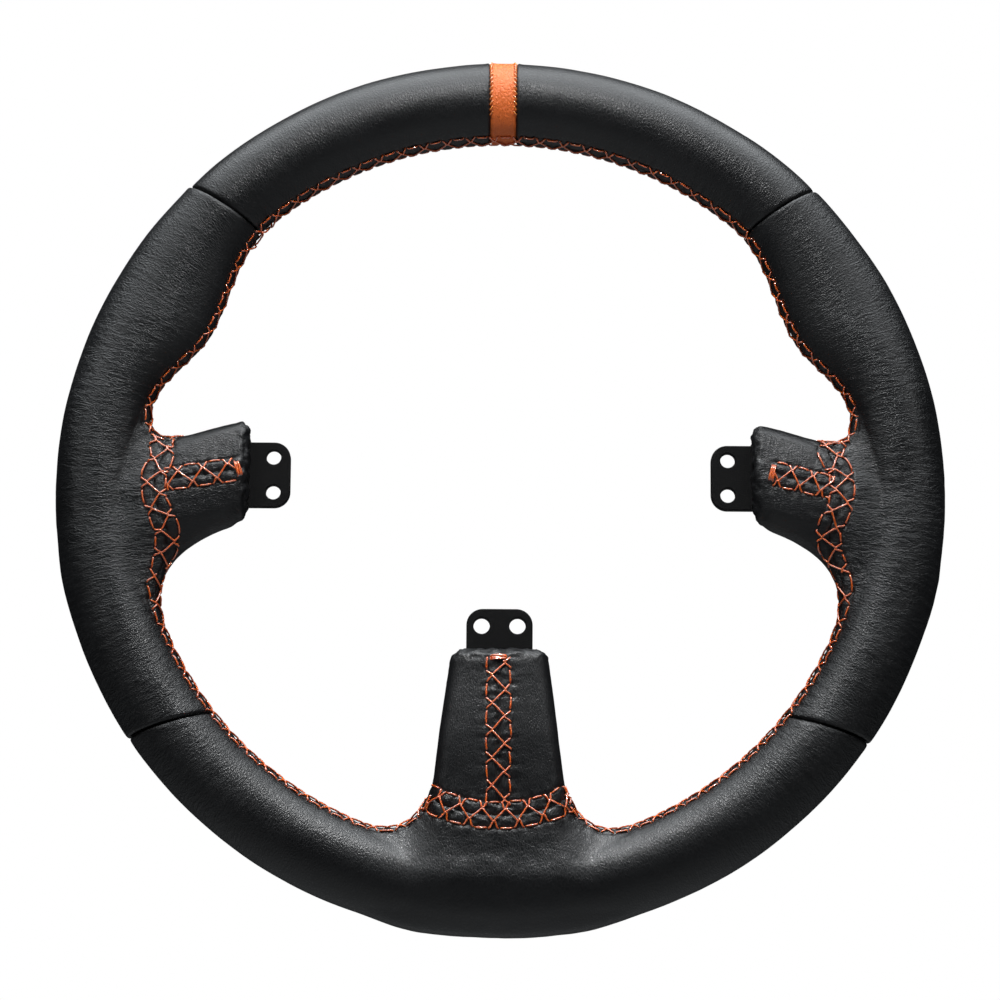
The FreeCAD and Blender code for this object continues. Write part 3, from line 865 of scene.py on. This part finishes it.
def build_skin():
    """The whole leather skin, with every seam's relief, divided into its panels."""
    form = rough_form()
    foam_padding(form)
    remesh(form, FINE_VOXEL)
    points = vertices_of(form) / MM
    faces = [tuple(polygon.vertices) for polygon in form.data.polygons]
    edges = np.empty(len(form.data.edges) * 2, int)
    form.data.edges.foreach_get("vertices", edges)
    edges = edges.reshape(-1, 2)
    pick(form)
    bpy.ops.object.delete()

    def cut(level_of):
        nonlocal faces
        level = level_of(points)
        level = slide_to_cut(points, edges, level)
        faces = split_at(faces, level)

    for name in PANEL_CUTS:
        cut(lambda p, name=name: np.where(near_cut(name, p), cut_side(name, p), 99.0))
    for sign in (-1, 1):
        cut(lambda p, sign=sign: np.where(
            (p[:, 2] > 60) & (np.abs(p[:, 0] - sign * BAND_HALF) < 8), sign * p[:, 0] - BAND_HALF, 99.0))
    for side in ("left", "right", "bottom"):
        cut(lambda p, side=side: base_cut(side, p))

    centres = np.array([points[list(face)].mean(axis=0) for face in faces])
    points, normals = laid_on(points, 3)
    height, marks = relief_and_marks(points)
    return points + normals * height[:, None], faces, panel_at(centres), marks


SKIN_POINTS, SKIN_FACES, SKIN_OWNER, SKIN_MARKS = build_skin()

FLAT_LENGTHS = {
    "leather_top_left": 101.0, "leather_top_right": 101.0, "marker_band": 12.0,
    "leather_left": 205.0, "leather_right": 205.0, "leather_bottom": 262.0,
    "spoke_cover_left": 26.0, "spoke_cover_right": 26.0, "spoke_cover_bottom": 54.0,
}


def skin_panel(name):
    """One leather panel, cut out of the skin."""
    faces = [face for face, owner in zip(SKIN_FACES, SKIN_OWNER) if owner == name]
    used = sorted({index for face in faces for index in face})
    renumber = {old: new for new, old in enumerate(used)}
    panel = mesh_piece(
        f"{name}_skin", SKIN_POINTS[used] * MM, [[renumber[i] for i in face] for face in faces]
    )
    for mark, values in SKIN_MARKS.items():
        panel.data.attributes.new(mark, "FLOAT", "POINT").data.foreach_set("value", values[used])
    panel.data.shade_smooth()
    if name == "marker_band":
        dress(panel, ORANGE_LEATHER, "leather_orange", name)
    else:
        dress(panel, BLACK_LEATHER, "leather_black", name)
    return panel


for panel_name in FLAT_LENGTHS:
    skin_panel(panel_name)


# ---------------------------------------------------------------- threads


def rounded_path(points, rounds=2):
    """A path with its corners eased."""
    points = np.array(points, float)
    for _ in range(rounds):
        first, second = points[:-1], points[1:]
        eased = np.empty((2 * len(first), 3))
        eased[0::2] = 0.75 * first + 0.25 * second
        eased[1::2] = 0.25 * first + 0.75 * second
        points = np.vstack([points[:1], eased, points[-1:]])
    return points


def thread_mesh(paths, radius, spacing=0.26, sides=9, plies=3, twist=1.9):
    """Twisted thread along each path: points, faces and how high each point is on its ply, which the thread's
    material turns into painted highlight and shade.
    """
    all_points, all_faces, all_ply = [], [], []
    for path in paths:
        path = rounded_path(path)
        steps = np.linalg.norm(np.diff(path, axis=0), axis=1)
        reach = np.concatenate([[0.0], np.cumsum(steps)])
        count = max(4, int(reach[-1] / spacing))
        at = np.linspace(0, reach[-1], count)
        line = np.stack([np.interp(at, reach, path[:, k]) for k in range(3)], axis=1)
        ahead = np.gradient(line, axis=0)
        ahead /= np.linalg.norm(ahead, axis=1)[:, None] + 1e-12
        normal = np.cross(ahead[0], (0.3, 0.9, 0.2))
        normal /= np.linalg.norm(normal)
        turn = np.arange(sides) * 2 * math.pi / sides
        base = sum(len(block) for block in all_points)
        for index in range(count):
            normal -= ahead[index] * (normal @ ahead[index])
            normal /= np.linalg.norm(normal)
            aside = np.cross(ahead[index], normal)
            lobe = np.cos(plies * (turn - 2 * math.pi * at[index] / twist / plies))
            size = radius * (0.89 + 0.11 * lobe)
            ring = line[index] + np.outer(np.cos(turn) * size, normal) + np.outer(np.sin(turn) * size, aside)
            all_points.append(ring)
            all_ply.append(0.5 + 0.5 * lobe)
        for index in range(count - 1):
            low, high = base + index * sides, base + (index + 1) * sides
            for k in range(sides):
                after = (k + 1) % sides
                all_faces.append((low + k, low + after, high + after, high + k))
        all_faces.append(tuple(base + k for k in reversed(range(sides))))
        all_faces.append(tuple(base + (count - 1) * sides + k for k in range(sides)))
    return np.vstack(all_points), all_faces, np.concatenate(all_ply)


def sew(name, paths, nodes, radius=THREAD, material=ORANGE_THREAD, **options):
    """A thread piece from its paths."""
    points, faces, ply = thread_mesh(paths, radius, **options)
    piece = mesh_piece(name, points * MM, faces)
    # the ply height, read by the thread material to paint highlight and shade
    values = piece.data.attributes.new("ply", "FLOAT", "POINT")
    values.data.foreach_set("value", ply)
    piece.data.shade_smooth()
    return dress(piece, material, "thread_orange", *nodes)


def jitter(amount):
    return rng.uniform(-amount, amount)


def edge_paths(seam, row, start, end):
    """An edge thread's visible stitches: straight dashes and small Vs drawn towards the seam."""
    stitch, dash_length = seam.stitch, seam.dash
    shift = 0.0 if row > 0 else stitch / 2
    first = math.floor((start - seam.start_stitch - shift) / stitch) - 1
    last = math.ceil((end - seam.start_stitch - shift) / stitch) + 1
    knots, sizes = [], []
    for index in range(first, last):
        hole = seam.start_stitch + shift + index * stitch
        side = row * (seam.row + jitter(0.15))
        half = dash_length / 2
        dash = [(-half, 0.0, -0.7), (-half + 0.06, 0.0, -0.05), (-half + 0.42, 0.02, 0.14), (0.0, 0.10, 0.24),
                (half - 0.42, 0.02, 0.14), (half - 0.06, 0.0, -0.05), (half, 0.0, -0.7)]
        reach = (stitch - dash_length) / 2 - HOLE_GAP
        deep, lean = seam.pull + jitter(0.22), jitter(0.35)
        vee = [(-reach, 0.0, -0.7), (-reach + 0.06, -0.02, -0.05), (-reach + 0.42, -0.24, 0.20),
               (lean - 0.32, -deep + 0.24, 0.46), (lean, -deep, 0.54), (lean + 0.32, -deep + 0.24, 0.46),
               (reach - 0.42, -0.24, 0.20), (reach - 0.06, -0.02, -0.05), (reach, 0.0, -0.7)]
        for middle, shape in ((hole + half, dash), (hole + (stitch + dash_length) / 2, vee)):
            if start - 0.3 < middle < end + 0.3:
                tilt = jitter(0.10)
                knots += [(middle + a, side + row * w + tilt * a, h) for a, w, h in shape]
                sizes.append(len(shape))
    placed = seam.place(*np.array(knots).T)
    return np.split(placed, np.cumsum(sizes)[:-1])


HOOK = ((-0.62, 0.62, 0.70), (-0.16, -0.06, 0.40), (0.16, -0.06, 0.40), (0.62, 0.62, 0.70))


def lacing_path(seam, start, end, slack=()):
    """The lacing: from V to V across the seam, hooked round each. slack: (along, reach, extra lift)."""
    knots = []
    reach = seam.row - seam.pull + 0.20
    first = math.ceil((start - seam.start_stitch) / (seam.stitch / 2)) - 2
    last = math.floor((end - seam.start_stitch) / (seam.stitch / 2)) + 1
    middle = (seam.stitch + seam.dash) / 2
    for index in range(first, last + 1):
        row = -1 if index % 2 else 1
        hook = seam.start_stitch + index * seam.stitch / 2 + middle + jitter(0.2)
        if not start - 0.5 < hook < end + 0.5:
            continue
        side = row * (reach + jitter(0.18))
        loose = sum(extra * math.exp(-((hook - at) / width) ** 2) for at, width, extra in slack)
        for ahead, inward, lift in HOOK:
            rise = lift * seam.stand + loose * rng.uniform(0.3, 1.0)
            knots.append((hook + ahead, side - row * inward, rise))
    return seam.place(*np.array(knots).T)


def tack_path(seam, at, turns=6):
    """Several turns of thread sewn across the end of a seam."""
    knots = []
    for turn in range(turns):
        middle = at + (turn - turns / 2) * 0.30
        lean = -1 if turn % 2 else 1
        for share in np.linspace(-1, 1, 7):
            lift = 0.62 - 1.0 * abs(share) ** 6 + 0.30 * (turn % 3) / 2
            knots.append((middle + 0.15 * share + jitter(0.07), share * 2.85 * lean, lift))
    return seam.place(*np.array(knots).T)


def sew_seam(seam_name, spans):
    """Edge threads and lacing along a seam. spans: (start, end, lacing node, + row node, - row node)."""
    seam = SEAMS[seam_name]
    for start, end, lacing, plus, minus in spans:
        end = min(end, seam.length)
        sew(f"{plus}_stitches", edge_paths(seam, 1, start, end), [plus])
        sew(f"{minus}_stitches", edge_paths(seam, -1, start, end), [minus])
        slack = []
        if seam_name == "upper":
            away = np.hypot(seam.points[:, 0] - LOOSE_LOOP[0], seam.points[:, 2] - LOOSE_LOOP[1])
            slack = [(seam.at[away.argmin()], 6.0, 1.7)]
        paths = [lacing_path(seam, start, end, slack)]
        if seam_name.startswith("closing"):
            paths.append(tack_path(seam, 0.6))
        sew(f"{lacing}_stitches", paths, [lacing])


def rim_start(seam):
    """Where a side seam leaves its spoke for the rim's inner side."""
    below = np.nonzero((seam.points[:, 2] < -33) & (seam.points[:, 1] > -7.5))[0]
    return seam.at[below[0]]


TO_THE_END = 999.0
sew_seam("upper", [
    (0.0, TO_THE_END, "lacing_rim_upper", "edge_thread_rim_upper_front", "edge_thread_rim_upper_back"),
])
for side in ("left", "right"):
    seam = SEAMS[side]
    leave = seam.start_stitch + seam.stitch * round((rim_start(seam) - seam.start_stitch) / seam.stitch)
    rim_row, cover_row = f"edge_thread_spoke_base_{side}_rim", f"edge_thread_spoke_base_{side}_cover"
    front, back = f"edge_thread_rim_lower_{side}_front", f"edge_thread_rim_lower_{side}_back"
    outer_row = 1 if side == "left" else -1
    base = (rim_row, cover_row)[::outer_row]
    rim = (front, back)[::outer_row]
    sew_seam(side, [
        (0.0, leave, f"lacing_spoke_base_{side}", *base),
        (leave, TO_THE_END, f"lacing_rim_lower_{side}", *rim),
    ])
    closing = f"edge_thread_spoke_seam_{side}"
    sew_seam(f"closing_{side}", [
        (0.0, TO_THE_END, f"lacing_spoke_seam_{side}", f"{closing}_a", f"{closing}_b"),
    ])
sew_seam("base_bottom", [
    (0.0, TO_THE_END, "lacing_spoke_base_bottom", "edge_thread_spoke_base_bottom_rim",
     "edge_thread_spoke_base_bottom_cover"),
])
sew_seam("closing_bottom", [
    (0.0, TO_THE_END, "lacing_spoke_seam_bottom", "edge_thread_spoke_seam_bottom_a",
     "edge_thread_spoke_seam_bottom_b"),
])


# one stitch over the band's edge: share of the pitch, distance past the edge, height
BAND_STITCH = ((0.1, -0.8, -0.35), (0.2, -0.7, 0.2), (0.5, -0.3, 0.30), (0.8, 0.15, 0.1), (0.9, 0.2, -0.5))
BAND_PITCH = 1.7


def band_stitches(side, sign):
    """Fine stitches across the groove at one edge of the marker band."""
    paths = []
    pitch_turn = BAND_PITCH / (HALF_WIDTH + HALF_DEPTH) * 2
    lean = -math.radians(SEAM_TILT + 22)
    start, end = math.pi - lean - 2 * math.pi + 0.55, math.pi - 0.9
    count = int((end - start) / pitch_turn)
    for index in range(count):
        corners = []
        for share, offset, lift in BAND_STITCH:
            turn = start + (index + share) * pitch_turn
            x = sign * (BAND_HALF + offset)
            radius = RIM + HALF_WIDTH * math.cos(turn)
            corners.append((x, -HALF_DEPTH * math.sin(turn), math.sqrt(radius**2 - x**2), lift))
        line = np.array([c[:3] for c in corners])
        line, normal = laid_on(line, 3)
        paths.append(line + normal * np.array([c[3] for c in corners])[:, None])
    node = f"marker_thread_{side}"
    sew(f"{node}_stitches", paths, [node], 0.24, MARKER_THREAD, spacing=0.3, sides=6)


band_stitches("left", -1)
band_stitches("right", 1)


# ---------------------------------------------------------------- CAD nodes that show


def finish_node(name, material):
    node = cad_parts[name]
    node.data.materials.clear()
    node.data.materials.append(material)
    return node


for side in ("left", "right", "bottom"):
    plate = finish_node(f"spoke_plate_{side}", BLACK_PLATE)
    weld = plate.modifiers.new("joined_corners", "WELD")
    weld.merge_threshold = 1e-6
    flats = plate.modifiers.new("whole_faces", "DECIMATE")
    flats.decimate_type = "DISSOLVE"
    flats.angle_limit = math.radians(2)
    bevel = plate.modifiers.new("eased_edges", "BEVEL")
    bevel.width = 0.28 * MM
    bevel.segments = 2
    bevel.limit_method = "ANGLE"
    bevel.angle_limit = math.radians(40)
finish_node("rim_tube", STEEL)


# ---------------------------------------------------------------- stage, light and camera


def stage():
    """A plain pale floor well below the wheel, out of view."""
    clear_selection()
    bpy.ops.mesh.primitive_plane_add(size=8, location=(0, 0, -1.2))
    floor = bpy.context.object
    floor.name = "floor"
    material, tree, shader = new_material("pale_floor")
    shader.inputs["Base Color"].default_value = (0.8, 0.8, 0.8, 1)
    shader.inputs["Roughness"].default_value = 0.9
    floor.data.materials.append(material)


def soft_light(name, place, target, width, height, power, colour=(1, 1, 1), spread=180):
    data = bpy.data.lights.new(name, "AREA")
    data.shape = "RECTANGLE"
    data.size, data.size_y = width, height
    data.energy = power
    data.color = colour
    data.spread = math.radians(spread)
    light = bpy.data.objects.new(name, data)
    light.location = place
    light.rotation_euler = (Vector(target) - Vector(place)).to_track_quat("-Z", "Y").to_euler()
    bpy.context.scene.collection.objects.link(light)


def backdrop():
    """White behind the wheel for the camera, a dim studio for everything else."""
    world = bpy.data.worlds.new("studio")
    bpy.context.scene.world = world
    world.use_nodes = True
    tree = world.node_tree
    tree.nodes.clear()
    white, dim = tree.nodes.new("ShaderNodeBackground"), tree.nodes.new("ShaderNodeBackground")
    white.inputs["Color"].default_value = (1, 1, 1, 1)
    dim.inputs["Color"].default_value = (0.72, 0.76, 0.82, 1)
    dim.inputs["Strength"].default_value = 0.02
    path = tree.nodes.new("ShaderNodeLightPath")
    mix, out = tree.nodes.new("ShaderNodeMixShader"), tree.nodes.new("ShaderNodeOutputWorld")
    tree.links.new(path.outputs["Is Camera Ray"], mix.inputs[0])
    tree.links.new(dim.outputs[0], mix.inputs[1])
    tree.links.new(white.outputs[0], mix.inputs[2])
    tree.links.new(mix.outputs[0], out.inputs["Surface"])


stage()
backdrop()
COOL = (0.93, 0.97, 1.0)
soft_light("overhead", (0, -0.15, 1.1), (0, 0, 0), 1.8, 0.9, 27, COOL)
soft_light("upper_front", (0, -1.1, 1.3), (0, 0, 0), 1.8, 0.4, 6, COOL)
soft_light("near_left", (-0.6, -0.55, 0.35), (-0.14, 0, 0), 0.22, 0.5, 0.7)
soft_light("near_right", (0.6, -0.55, 0.35), (0.14, 0, 0), 0.22, 0.5, 0.7)
soft_light("thread_glint", (0, -0.3, 0.35), (0, 0, -0.06), 0.05, 0.05, 0.15, spread=50)

CAMERA_DISTANCE, CAMERA_TILT, CAMERA_ROLL = 1.25, 11.85, 0.42
CAMERA_LENS, CAMERA_AIM, CAMERA_TURN = 133.4, 0.152, 0.007

camera_data = bpy.data.cameras.new("camera")
camera_data.lens = CAMERA_LENS
camera_data.sensor_width = 36.0
camera = bpy.data.objects.new("camera", camera_data)
tilt = math.radians(CAMERA_TILT)
camera.location = (0, -CAMERA_DISTANCE * math.cos(tilt), -CAMERA_DISTANCE * math.sin(tilt))
aim = Matrix.Rotation(math.radians(90 + CAMERA_TILT - CAMERA_AIM), 4, "X")
turn = Matrix.Rotation(math.radians(CAMERA_TURN), 4, "Z")
camera.rotation_euler = (turn @ aim @ Matrix.Rotation(math.radians(CAMERA_ROLL), 4, "Z")).to_euler()
bpy.context.scene.collection.objects.link(camera)
bpy.context.scene.camera = camera

look = bpy.context.scene.view_settings
look.view_transform = "Standard"
look.look = "None"
